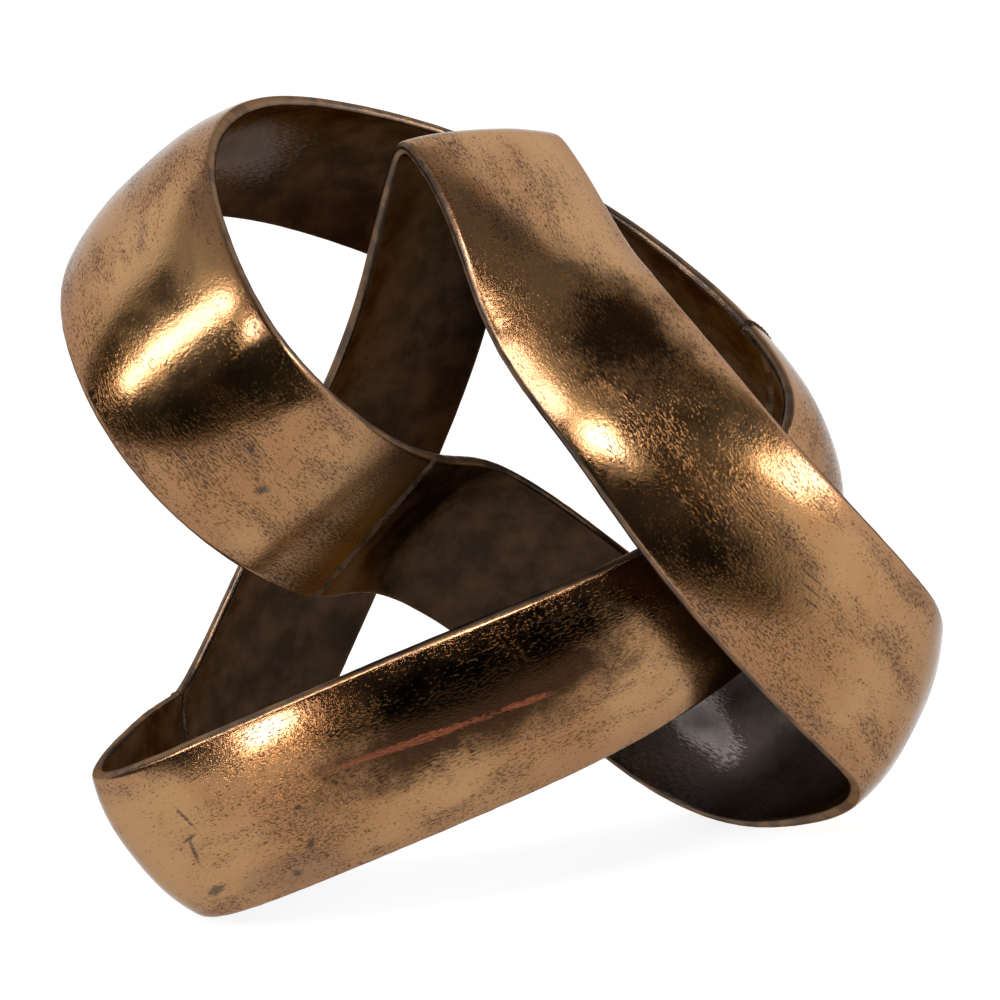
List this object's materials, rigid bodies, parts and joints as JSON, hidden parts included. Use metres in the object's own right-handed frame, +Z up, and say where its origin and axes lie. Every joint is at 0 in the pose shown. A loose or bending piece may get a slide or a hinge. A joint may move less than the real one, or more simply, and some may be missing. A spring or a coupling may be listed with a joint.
{
  "type": "knot sculpture",
  "caption": "Free-standing ornament: a wide crowned metal band tied in a loose overhand knot with its ends joined, standing on two bends.",
  "frame": {"origin": "centre of the bounding box, on the plane the knot stands on", "axes": "+Z up, +X to the viewer's right along the knot's width, -Y towards the viewer (its front)"},
  "size_m": [0.2464, 0.1621, 0.2251],
  "materials": {
    "antique_gold": "cast, antique gold and bronze patina, hand polished to satin",
    "weld_bead": "weld bead, ground and toned down"
  },
  "bodies": {
    "root": {"front_arm": "antique_gold", "lower_arm": "antique_gold", "side_loop": "antique_gold", "middle_weld": "weld_bead", "lower_weld": "weld_bead", "right_weld": "weld_bead"}
  },
  "joints": []
}
